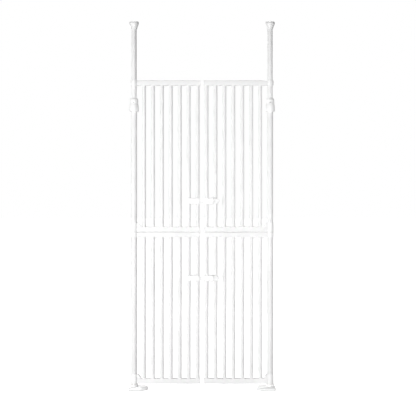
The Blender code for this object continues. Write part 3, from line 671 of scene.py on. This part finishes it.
def jack_nut(side_name):
    """The grip nut: a fluted barrel that turns on the outer tube and drives the stem's thread."""
    node = f"jack_nut_{side_name}"
    low, high, middle = span_of(node)
    bottom, top = low.z, high.z
    outline = [
        (NUT_MOUTH_RADIUS, top, 0.0003),
        (NUT_TOP_RADIUS, top, 0.0008),
        (NUT_SHOULDER_RADIUS, top - NUT_SHOULDER_DROP, 0.012),
        (NUT_BELLY_RADIUS, top - NUT_BELLY_DROP, 0.020),
        (NUT_HEEL_RADIUS, bottom + 0.0006, 0.0016),
        (NUT_BOTTOM_RADIUS, bottom, 0.0008),
        (OUTER_FIT, bottom, 0.0004),
        (OUTER_FIT, bottom + NUT_SKIRT),
        (NUT_NECK_BORE, bottom + NUT_SKIRT),
        (NUT_NECK_BORE, bottom + NUT_FLOOR),
        (NUT_MOUTH_RADIUS, bottom + NUT_FLOOR),
    ]
    profile = fine_heights(fillet(outline, steps=8), NUT_ROW_HEIGHT, FLUTE_LEAST_RADIUS)

    def fluted(radius, height, angle):
        rise = (height - bottom) / (top - bottom)
        if radius < FLUTE_LEAST_RADIUS or not FLUTES_START < rise < FLUTES_END:
            return radius
        share = (rise - FLUTES_START) / (FLUTES_END - FLUTES_START)
        fade = math.sin(math.pi * min(share, 1)) ** 0.5
        return radius - FLUTE_DEPTH * fade * (0.5 - 0.5 * math.cos(FLUTES * angle)) ** 1.5

    steps = FLUTES * FLUTE_STEPS
    show(lathe(node, profile, (middle.x, 0, 0), steps, closed=True, swell=fluted), node)


def helical_thread(name, axis_x, bottom, top):
    """A trapezoid thread wound round the stem, with its crests easing out at both ends."""
    angles = [2 * math.pi * i / ROUND for i in range(ROUND)]
    rings = []
    for row in range(THREAD_ROWS + 1):
        height = bottom + (top - bottom) * row / THREAD_ROWS
        run_in = (height - bottom) / THREAD_RUN_IN
        run_out = (top - height) / THREAD_RUN_OUT + THREAD_LEAST_CREST
        full = (THREAD_CREST - THREAD_ROOT) * min(1, run_in, run_out)
        points = []
        for angle in angles:
            phase = ((height - bottom) / THREAD_PITCH - angle / (2 * math.pi)) % 1
            ridge = max(0, min(1, (THREAD_HALF_RIDGE - abs(phase - 0.5)) / THREAD_FLANK))
            radius = THREAD_ROOT + full * ridge
            points.append((axis_x + radius * math.cos(angle), radius * math.sin(angle), height))
        rings.append(points)
    for height in (top, bottom):
        rings.append([(axis_x + INNER_FIT * math.cos(a), INNER_FIT * math.sin(a), height) for a in angles])
    return loft(name, rings, caps=False)


def socket_screw(node, outward):
    """A hexagon-socket screw along Y in the node's box. Outward 1 has its head to the front, -1 to
    the back. Heights here run to the front."""
    low, high, middle = span_of(node)
    top, tip = (-low.y, -high.y) if outward > 0 else (-high.y, -low.y)
    head = (high.x - low.x) / 2
    height = HEAD_HEIGHT * outward
    shank = head * SHANK_SHARE
    profile = [
        (0, top),
        (head, top, 0.0005),
        (head, top - height, 0.0002),
        (shank, top - height, 0.0002),
        (shank, tip, 0.0005),
        (0, tip),
    ]
    rounded = fillet(profile, closed=False, steps=SMALL_FILLET_STEPS)
    screw = lathe(node, rounded, (middle.x, 0, middle.z), SMALL_ROUND, axis="-Y")
    start = (middle.x, -(top - height * HEXAGON_DEPTH_SHARE), middle.z)
    end = (middle.x, -(top + OVERSHOOT * outward), middle.z)
    cut(screw, [rod("hexagon", head * HEXAGON_SHARE, start, end, 6)])
    show(screw, node)


def jack_stem(side_name):
    """The stopper ring with its screw recess, and the helical thread below it."""
    node = f"jack_stem_{side_name}"
    low, high, middle = span_of(node)
    outer = (high.x - low.x) / 2
    profile = [
        (INNER_FIT, high.z, 0.0006),
        (STOPPER_TOP_RADIUS, high.z, 0.0012),
        (outer, high.z - STOPPER_CONE_DROP, 0.004),
        (outer, STOPPER_BOTTOM + STOPPER_CHAMFER, 0.0018),
        (STOPPER_BOTTOM_RADIUS, STOPPER_BOTTOM, 0.0005),
        (INNER_FIT, STOPPER_BOTTOM),
    ]
    stopper = lathe(node, fillet(profile), (middle.x, 0, 0), ROUND * 2, closed=True)
    screw = f"fixing_screw_{side_name}"
    height = span_of(screw)[2].z
    recess = block(
        "recess",
        (middle.x - RECESS_HALF_WIDTH, RECESS_FRONT, height - RECESS_HALF_HEIGHT),
        (middle.x + RECESS_HALF_WIDTH, RECESS_FLOOR, height + RECESS_HALF_HEIGHT),
        RECESS_CORNER,
    )
    hole_start = (middle.x, FIXING_HOLE_FRONT, height)
    hole = rod("hole", FIXING_HOLE_RADIUS, hole_start, (middle.x, 0, height))
    cut(stopper, [recess, hole])
    thread = helical_thread(node + "_thread", middle.x, low.z, STOPPER_BOTTOM)
    show(join([stopper, thread]), node)
    socket_screw(screw, 1)


def ceiling_cup(side_name):
    """The flared cup on top of a pole."""
    node = f"ceiling_cup_{side_name}"
    low, high, middle = span_of(node)
    rim = (high.x - low.x) / 2
    roof = high.z - CUP_ROOF
    profile = [
        (0, high.z),
        (rim, high.z, 0.0016),
        (rim, CUP_RIM_BOTTOM, 0.002),
        (*CUP_FLARE, 0.02),
        (*CUP_NECK, 0.02),
        (CUP_BOTTOM_RADIUS, low.z, 0.0008),
        (INNER_FIT, low.z, 0.0005),
        (INNER_FIT, roof),
        (0, roof),
    ]
    show(lathe(node, fillet(profile, closed=False), (middle.x, 0, 0)), node)


def ceiling_pad(side_name):
    """The rubber disc on a cup, with ring grooves in its upper face."""
    node = f"ceiling_pad_{side_name}"
    low, high, middle = span_of(node)
    radius = (high.x - low.x) / 2
    depth = high.z - PAD_GROOVE_DEPTH
    profile = [(0, high.z)]
    for groove in range(PAD_GROOVES):
        start = radius - PAD_GROOVE_REACH + PAD_GROOVE_PITCH * groove
        profile.append((start, high.z, 0.0002))
        profile += [(start + across, depth, 0.0002) for across in PAD_GROOVE_FLOOR]
        profile.append((start + PAD_GROOVE_WIDTH, high.z, 0.0002))
    profile += [(radius, high.z, 0.0018), (radius - PAD_DRAFT, low.z, 0.0004), (0, low.z)]
    rounded = fillet(profile, closed=False, steps=SMALL_FILLET_STEPS)
    show(lathe(node, rounded, (middle.x, 0, 0)), node)


# Leaves

BAR_ROOTED = 0.006  # how far a bar runs on inside its rails

# Weld beads: their size, and the two ripples that make pools of them
WELD_RADIUS = 0.0011
WELD_STEPS = 72
WELD_SIDES = 8
POOLS = 18
POOL_DEPTH = 0.10
SWELLS = 5
SWELL_DEPTH = 0.07
SWELL_SHIFT = 2.3
BAR_SEED_STEP = 1.7
TOP_SEED_STEP = 0.9

# Hinges: distances from a pole's axis towards the leaf, and heights above the sleeve's lower end
SLEEVE_RADIUS = 0.020
SHOULDER_END = 0.0222
SHOULDER_INSET = 0.0004
TONGUE_START = 0.021
TONGUE_END = 0.044
GUSSET_START = 0.0185
GUSSET_FACE = 0.0216
GUSSET_END = 0.0430
GUSSET_KNEE = 0.0260
GUSSET_FOOT = 0.026
GUSSET_SEAT = 0.0303
GUSSET_LIP = 0.0333
GUSSET_TOP_DROP = 0.001
GUSSET_HALF_DEPTH = 0.010
GUSSET_EDGE = 0.0011

CAP_FLANGE = 0.002
CAP_EDGE = 0.0008
CAP_PLUG_ROOT = 0.7  # where the plug starts, as a share of the flange


def rail_surface(across, half_depth):
    """How far a rail's top face has dropped at a distance from its middle line."""
    past = abs(across) - (half_depth - RAIL_CORNER)
    return 0 if past <= 0 else RAIL_CORNER - math.sqrt(max(RAIL_CORNER**2 - past**2, 0))


def weld_bead(name, along, face, up, half_depth, seed):
    """The bead where a bar meets a rail's face, laid in small overlapping pools."""
    rings = []
    for i in range(WELD_STEPS):
        angle = 2 * math.pi * i / WELD_STEPS
        across = BAR_RADIUS * math.sin(angle)
        drop = rail_surface(across, half_depth)
        middle = Vector((along + BAR_RADIUS * math.cos(angle), across, face - up * drop))
        pools = POOL_DEPTH * math.sin(POOLS * angle + seed)
        swells = SWELL_DEPTH * math.sin(SWELLS * angle + SWELL_SHIFT * seed)
        radius = WELD_RADIUS * (1 + pools + swells)
        outward = Vector((math.cos(angle), math.sin(angle), 0))
        points = []
        for k in range(WELD_SIDES):
            turn = 2 * math.pi * k / WELD_SIDES
            offset = outward * math.cos(turn) + Vector((0, 0, up)) * math.sin(turn)
            points.append(middle + offset * radius)
        rings.append(points)
    return loft(name, rings, caps=False)


def leaf_frame(level, side_name, side):
    """Two rails and seven bars, with a weld bead at each bar's ends."""
    node = f"{level}_{side_name}_frame"
    low, high, middle = span_of(node)
    half_depth = (high.y - low.y) / 2
    rails = ((low.z, low.z + RAIL_HEIGHT), (high.z - RAIL_HEIGHT, high.z))
    pieces = []
    for bottom, top in rails:
        outline = rectangle((-half_depth, bottom), (half_depth, top), RAIL_CORNER)
        pieces.append(prism(node, outline, low.x, high.x, "X"))
    lower_face, upper_face = rails[0][1], rails[1][0]
    for number in range(BAR_COUNT):
        along = side * (STILE_X + BAR_PITCH * number)
        start = (along, 0, lower_face - BAR_ROOTED)
        end = (along, 0, upper_face + BAR_ROOTED)
        pieces.append(rod(node, BAR_RADIUS, start, end, BAR_ROUND))
        seed = number * BAR_SEED_STEP + side + middle.z
        pieces.append(weld_bead(node, along, lower_face, 1, half_depth, seed))
        pieces.append(weld_bead(node, along, upper_face, -1, half_depth, seed + TOP_SEED_STEP))
    show(join(pieces), node)


def shoulder(node, side, axis_x, bottom):
    """The block that carries on the rail's section into the sleeve."""
    half_depth = RAIL_HALF_DEPTH - SHOULDER_INSET
    low = (-half_depth, bottom + SHOULDER_INSET)
    high = (half_depth, bottom + RAIL_HEIGHT - SHOULDER_INSET)
    ends = sorted((axis_x - side * OUTER_FIT, axis_x - side * SHOULDER_END))
    return prism(node, rectangle(low, high, RAIL_CORNER), *ends, "X")


def tongue(node, side, axis_x, bottom):
    """The part of a hinge that is plugged into the rail."""
    half_depth = RAIL_HALF_DEPTH - PLUG_INSET
    low = (-half_depth, bottom + PLUG_INSET)
    high = (half_depth, bottom + RAIL_HEIGHT - PLUG_INSET)
    ends = sorted((axis_x - side * TONGUE_START, axis_x - side * TONGUE_END))
    return prism(node, rectangle(low, high, PLUG_CORNER), *ends, "X")


def sleeve_ring(node, axis_x, bottom, top, bore):
    """The round part of a hinge, which turns on the pole."""
    profile = [
        (bore, bottom, 0.0006),
        (SLEEVE_RADIUS, bottom, 0.0012),
        (SLEEVE_RADIUS, top, 0.0012),
        (bore, top, 0.0006),
    ]
    return lathe(node, fillet(profile, steps=4), (axis_x, 0, 0), closed=True)


def gusset(node, side, axis_x, bottom, top):
    """The web that stands on the rail next to the sleeve and slopes down along it."""
    corners = [
        (GUSSET_START, bottom + GUSSET_FOOT),
        (GUSSET_FACE, bottom + GUSSET_FOOT),
        (GUSSET_FACE, bottom + GUSSET_SEAT),
        (GUSSET_END, bottom + GUSSET_SEAT, 0.0008),
        (GUSSET_END, bottom + GUSSET_LIP, 0.0016),
        (GUSSET_KNEE, top - GUSSET_TOP_DROP, 0.004),
        (GUSSET_START, top - GUSSET_TOP_DROP),
    ]
    outline = [(axis_x - side * a, b) for a, b in fillet(corners)]
    web = prism(node, outline, -GUSSET_HALF_DEPTH, GUSSET_HALF_DEPTH, "Y")
    return bevel(web, GUSSET_EDGE, 3)


def hinge_pieces(level, side_name, side):
    """A leaf's plain top sleeve and its bottom bracket, which has a gusset as well."""
    axis_x = span_of(f"outer_tube_{side_name}")[2].x
    top_bore = OUTER_FIT if level == "lower" else INNER_FIT
    for part, bore in (("top_sleeve", top_bore), ("hinge_bracket", OUTER_FIT)):
        node = f"{level}_{side_name}_{part}"
        low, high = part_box(node)
        pieces = [
            sleeve_ring(node, axis_x, low.z, high.z, bore),
            shoulder(node, side, axis_x, low.z),
            tongue(node, side, axis_x, low.z),
        ]
        if part == "hinge_bracket":
            pieces.append(gusset(node, side, axis_x, low.z, high.z))
        show(join(pieces), node)


def rail_caps(level, side_name, side):
    """The plastic caps in the rails' free ends: a flange over each end and a plug inside it."""
    for end in ("top", "bottom"):
        node = f"{level}_{side_name}_{end}_cap"
        low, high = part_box(node)
        tip, root = (low.x, high.x) if side > 0 else (high.x, low.x)
        flange = CAP_FLANGE * side
        outline = rectangle((low.y, low.z), (high.y, high.z), RAIL_CORNER)
        face = prism(node, outline, *sorted((tip, tip + flange)), "X")
        plug_low = (low.y + PLUG_INSET, low.z + PLUG_INSET)
        plug_high = (high.y - PLUG_INSET, high.z - PLUG_INSET)
        ends = sorted((tip + flange * CAP_PLUG_ROOT, root))
        plug = prism(node, rectangle(plug_low, plug_high, PLUG_CORNER), *ends, "X")
        show(join([bevel(face, CAP_EDGE, 3), plug]), node)


# Latches

SADDLE_REACH = 0.05
SADDLED_BARS = 2
NOSE_TAPER_START = 0.084
NOSE_RADIUS = 0.006
NOSE_CORNER = 0.0025
NOSE_STEPS = 14
KEEPER_CORNER = 0.003
LATCH_EDGE = 0.0022
CLAMP_EDGE = 0.0020
CHANNEL_RUN_ON = 0.013  # how far the channel goes on past the bolt, for it to draw back
SLOT_LEFT = 0.0195  # from the knob's middle to the slot's ends
SLOT_RIGHT = 0.0165
SLOT_HALF_HEIGHT = 0.0045
SLOT_CORNER = 0.0044
KEEPER_SLACK = 0.0018
POCKET_DEPTH = 0.016
CLAMP_HOLE_RADIUS = 0.0022
CLAMP_HOLE_FRONT = -0.013
CLAMP_HOLE_BACK = 0.03  # behind the clamp plates
COUNTERBORE_RADIUS = 0.0038
COUNTERBORE_DEPTH = 0.0031
BOLT_EDGE = 0.0016
KNOB_SOCKET_RADIUS = 0.0043
KNOB_SOCKET_END = -0.0202
KNOB_STEM_RADIUS = 0.004
KNOB_BACK = 0.0313  # from the bars' axes forward to the back of the knob's head
KNOB_DISH = (0.0018, 0.0014)  # how far its face is sunk at the middle and nearer the rim
KNOB_DISH_SHARE = 0.55
KNOB_RIM_SHARE = 0.80
KNOB_RIM_DROP = 0.0012


def saddles(height, side):
    """Cutters for the hollows that fit the two bars nearest the centre gap."""
    cutters = []
    for number in range(SADDLED_BARS):
        along = side * (STILE_X + BAR_PITCH * number)
        start = (along, 0, height - SADDLE_REACH)
        end = (along, 0, height + SADDLE_REACH)
        cutters.append(rod("saddle", BAR_RADIUS + GAP, start, end, BAR_ROUND))
    return cutters


def latch_outline(low, high):
    """The housing's outline: rounded near corners, and a far end that tapers to a round nose."""
    half = (high.z - low.z) / 2
    tip = high.x - NOSE_RADIUS
    slope = math.degrees(math.atan2(half - NOSE_RADIUS, tip - NOSE_TAPER_START))
    corners = [
        (NOSE_TAPER_START, half),
        (low.x, half, NOSE_CORNER),
        (low.x, -half, NOSE_CORNER),
        (NOSE_TAPER_START, -half),
    ]
    points = fillet(corners, closed=False)
    points += arc((tip, 0), NOSE_RADIUS, -90 + slope, 90 - slope, NOSE_STEPS)
    middle = (low + high) / 2
    return [(x, z + middle.z) for x, z in points]


def keeper_outline(low, high):
    return rectangle((low.x, low.z), (high.x, high.z), KEEPER_CORNER)


def front_hole(along, height):
    """Cutter for a clamp screw's thread in a housing or keeper."""
    start = (along, CLAMP_HOLE_FRONT, height)
    return rod("hole", CLAMP_HOLE_RADIUS, start, (along, OVERSHOOT, height))


def latch_housing(level):
    """The housing, with the bolt's channel, the knob's slot and the clamp screw's hole."""
    node = f"{level}_latch_housing"
    low, high, middle = span_of(node)
    z = middle.z
    bolt_low, bolt_high, bolt_middle = span_of(f"{level}_latch_bolt")
    knob_x = span_of(f"{level}_latch_knob")[2].x
    channel = block(
        "channel",
        (low.x - OVERSHOOT, bolt_low.y - GAP, bolt_low.z - GAP),
        (bolt_high.x + CHANNEL_RUN_ON, bolt_high.y + GAP, bolt_high.z + GAP),
    )
    slot_low = (knob_x - SLOT_LEFT, z - SLOT_HALF_HEIGHT)
    slot_high = (knob_x + SLOT_RIGHT, z + SLOT_HALF_HEIGHT)
    slot_outline = rectangle(slot_low, slot_high, SLOT_CORNER)
    slot = prism("slot", slot_outline, low.y - OVERSHOOT, bolt_middle.y, "Y")
    housing = bevel(prism(node, latch_outline(low, high), low.y, high.y, "Y"), LATCH_EDGE)
    cut(housing, [*saddles(z, 1), channel, slot, front_hole(SCREW_X, z)])
    show(housing, node)


def latch_keeper(level):
    """The keeper, with the pocket that the bolt's nose enters and the clamp screw's hole."""
    node = f"{level}_latch_keeper"
    low, high, middle = span_of(node)
    z = middle.z
    bolt_low, bolt_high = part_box(f"{level}_latch_bolt")
    pocket = block(
        "pocket",
        (high.x - POCKET_DEPTH, bolt_low.y - KEEPER_SLACK, bolt_low.z - KEEPER_SLACK),
        (high.x + OVERSHOOT, bolt_high.y + KEEPER_SLACK, bolt_high.z + KEEPER_SLACK),
    )
    keeper = bevel(prism(node, keeper_outline(low, high), low.y, high.y, "Y"), LATCH_EDGE)
    cut(keeper, [*saddles(z, -1), pocket, front_hole(-SCREW_X, z)])
    show(keeper, node)


def clamps(level):
    """The plates behind the bars, each with its counterbored hole and its screw."""
    for part, side, outline in (("housing", 1, latch_outline), ("keeper", -1, keeper_outline)):
        node = f"{level}_{part}_clamp"
        low, high, middle = span_of(node)
        z = middle.z
        plate = bevel(prism(node, outline(low, high), low.y, high.y, "Y"), CLAMP_EDGE)
        across = side * SCREW_X
        back = (across, CLAMP_HOLE_BACK, z)
        hole = rod("hole", CLAMP_HOLE_RADIUS, (across, -OVERSHOOT, z), back)
        seat = (across, high.y - COUNTERBORE_DEPTH, z)
        counterbore = rod("counterbore", COUNTERBORE_RADIUS, seat, back)
        cut(plate, [*saddles(z, side), hole, counterbore])
        show(plate, node)
        socket_screw(f"{level}_{part}_screw", -1)


def bolt_and_knob(level):
    """The sliding bolt, and the dished knob whose stem sits in it."""
    knob = f"{level}_latch_knob"
    knob_low, knob_high, knob_middle = span_of(knob)
    z = knob_middle.z
    node = f"{level}_latch_bolt"
    low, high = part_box(node)
    bolt = block(node, low, high, BOLT_EDGE, 4)
    socket_start = (knob_middle.x, low.y - OVERSHOOT, z)
    socket_end = (knob_middle.x, KNOB_SOCKET_END, z)
    show(cut(bolt, [rod("socket", KNOB_SOCKET_RADIUS, socket_start, socket_end)]), node)
    radius = (knob_high.x - knob_low.x) / 2
    front, tip = -knob_low.y, -knob_high.y
    middle_sink, outer_sink = KNOB_DISH
    profile = [
        (0, front - middle_sink),
        (radius * KNOB_DISH_SHARE, front - outer_sink, 0.006),
        (radius * KNOB_RIM_SHARE, front, 0.002),
        (radius, front - KNOB_RIM_DROP, 0.0022),
        (radius, KNOB_BACK, 0.0008),
        (KNOB_STEM_RADIUS, KNOB_BACK, 0.0004),
        (KNOB_STEM_RADIUS, tip, 0.0005),
        (0, tip),
    ]
    centre = (knob_middle.x, 0, z)
    show(lathe(knob, fillet(profile, closed=False), centre, axis="-Y"), knob)


# Stage

WHITE = (1, 1, 1, 1)
UPRIGHT = math.radians(90)  # tilts a light or the camera from looking down to looking level
FLOOR_REACH = 30
FLOOR_TONES = (0.80, 0.788)
FLOOR_GLOW = 0.95


def floor_material():
    """A pale floor that glows, so that it is as white as the backdrop."""
    nodes = Nodes("floor")
    light, dark = FLOOR_TONES
    nodes.link(nodes.mix(nodes.noise(scale=3, detail=2), grey(light), grey(dark)), "Base Color")
    nodes.fixed(Roughness=0.9, Specular_IOR_Level=0.1)
    nodes.fixed(Emission_Color=WHITE, Emission_Strength=FLOOR_GLOW)
    return nodes.material


# Name: bearing in degrees from straight in front (positive to the gate's right), height of the light,
# distance, size and power. Every light faces the gate.
SOFT_BOXES = {
    "front": (-10, 1.0, 4.0, (0.8, 1.6), 136),
    "left": (-62, 1.0, 4.0, (2.0, 1.8), 58),
    "right": (74, 1.0, 1.2, (0.3, 2.2), 4.4),
    "back": (-150, 1.2, 4.0, (1.2, 2.0), 60),
}
# The world's light: a level, its slope along the axes, and a bright patch straight behind, which
# starts and is full where a direction's Y component has these values.
SKY_LEVEL = 0.14
SKY_SLOPE = (-0.10, -0.03, -0.04)
BACKDROP_GLOW = 1.2
BACKDROP_EDGE = 0.86
BACKDROP_FULL = 0.94


def soft_box(name, bearing, height, distance, size, power):
    light = bpy.data.lights.new(name, "AREA")
    light.shape = "RECTANGLE"
    light.size, light.size_y = size
    light.energy = power
    obj = bpy.data.objects.new(name, light)
    turn = math.radians(bearing)
    obj.location = (distance * math.sin(turn), -distance * math.cos(turn), height)
    obj.rotation_euler = (UPRIGHT, 0, turn)
    obj.visible_camera = False
    bpy.context.scene.collection.objects.link(obj)


def math_node(tree, operation, first, second):
    made = tree.nodes.new("ShaderNodeMath")
    made.operation = operation
    for socket, value in zip(made.inputs, (first, second)):
        if isinstance(value, bpy.types.NodeSocket):
            tree.links.new(value, socket)
        else:
            socket.default_value = value
    return made.outputs[0]


def sky_strength(tree):
    """The studio's soft light by direction: a straight slope, and a bright patch straight behind."""
    direction = tree.nodes.new("ShaderNodeTexCoord").outputs["Generated"]
    dot = tree.nodes.new("ShaderNodeVectorMath")
    dot.operation = "DOT_PRODUCT"
    tree.links.new(direction, dot.inputs[0])
    dot.inputs[1].default_value = SKY_SLOPE
    split = tree.nodes.new("ShaderNodeSeparateXYZ")
    tree.links.new(direction, split.inputs[0])
    room = math_node(tree, "MAXIMUM", math_node(tree, "ADD", dot.outputs["Value"], SKY_LEVEL), 0.0)
    patch = tree.nodes.new("ShaderNodeMapRange")
    patch.inputs["From Min"].default_value = BACKDROP_EDGE
    patch.inputs["From Max"].default_value = BACKDROP_FULL
    patch.inputs["To Max"].default_value = BACKDROP_GLOW
    tree.links.new(split.outputs["Y"], patch.inputs["Value"])
    return math_node(tree, "ADD", room, patch.outputs["Result"])


def floor():
    bm = bmesh.new()
    bmesh.ops.create_grid(bm, x_segments=1, y_segments=1, size=FLOOR_REACH)
    obj = new_object("floor", bm)
    obj.data.materials.append(floor_material())
    obj.visible_diffuse = False
    obj.visible_shadow = False


def world():
    """Soft light by direction, and plain white where the camera sees the backdrop."""
    studio = bpy.data.worlds.new("studio")
    studio.use_nodes = True
    tree = studio.node_tree
    lit = tree.nodes["Background"]
    lit.inputs["Color"].default_value = WHITE
    tree.links.new(sky_strength(tree), lit.inputs["Strength"])
    seen = tree.nodes.new("ShaderNodeBackground")
    seen.inputs["Color"].default_value = WHITE
    seen.inputs["Strength"].default_value = 1.0
    path = tree.nodes.new("ShaderNodeLightPath")
    mix = tree.nodes.new("ShaderNodeMixShader")
    tree.links.new(path.outputs["Is Camera Ray"], mix.inputs["Fac"])
    tree.links.new(lit.outputs[0], mix.inputs[1])
    tree.links.new(seen.outputs[0], mix.inputs[2])
    tree.links.new(mix.outputs[0], tree.nodes["World Output"].inputs["Surface"])
    bpy.context.scene.world = studio
    bpy.context.scene.view_settings.view_transform = "Standard"


CAMERA_DISTANCE = 5.0
CAMERA_HEIGHT = 1.183
CAMERA_SIDE = 0.0352
CAMERA_LENS = 72.9
CAMERA_SENSOR = 36
CAMERA_SHIFT_Y = -0.0433


def camera():
    data = bpy.data.cameras.new("camera")
    data.lens = CAMERA_LENS
    data.sensor_width = CAMERA_SENSOR
    data.shift_y = CAMERA_SHIFT_Y
    obj = bpy.data.objects.new("camera", data)
    obj.location = (CAMERA_SIDE, -CAMERA_DISTANCE, CAMERA_HEIGHT)
    obj.rotation_euler = (UPRIGHT, 0, 0)
    bpy.context.scene.collection.objects.link(obj)
    bpy.context.scene.camera = obj


def build():
    camera()
    floor()
    for name, values in SOFT_BOXES.items():
        soft_box(name, *values)
    world()
    for side_name, side in SIDES.items():
        foot(side_name, side)
        poles(side_name)
        jack_nut(side_name)
        jack_stem(side_name)
        ceiling_cup(side_name)
        ceiling_pad(side_name)
        for level in LEVELS:
            leaf_frame(level, side_name, side)
            hinge_pieces(level, side_name, side)
            rail_caps(level, side_name, side)
    for level in LEVELS:
        latch_housing(level)
        latch_keeper(level)
        clamps(level)
        bolt_and_knob(level)


build()
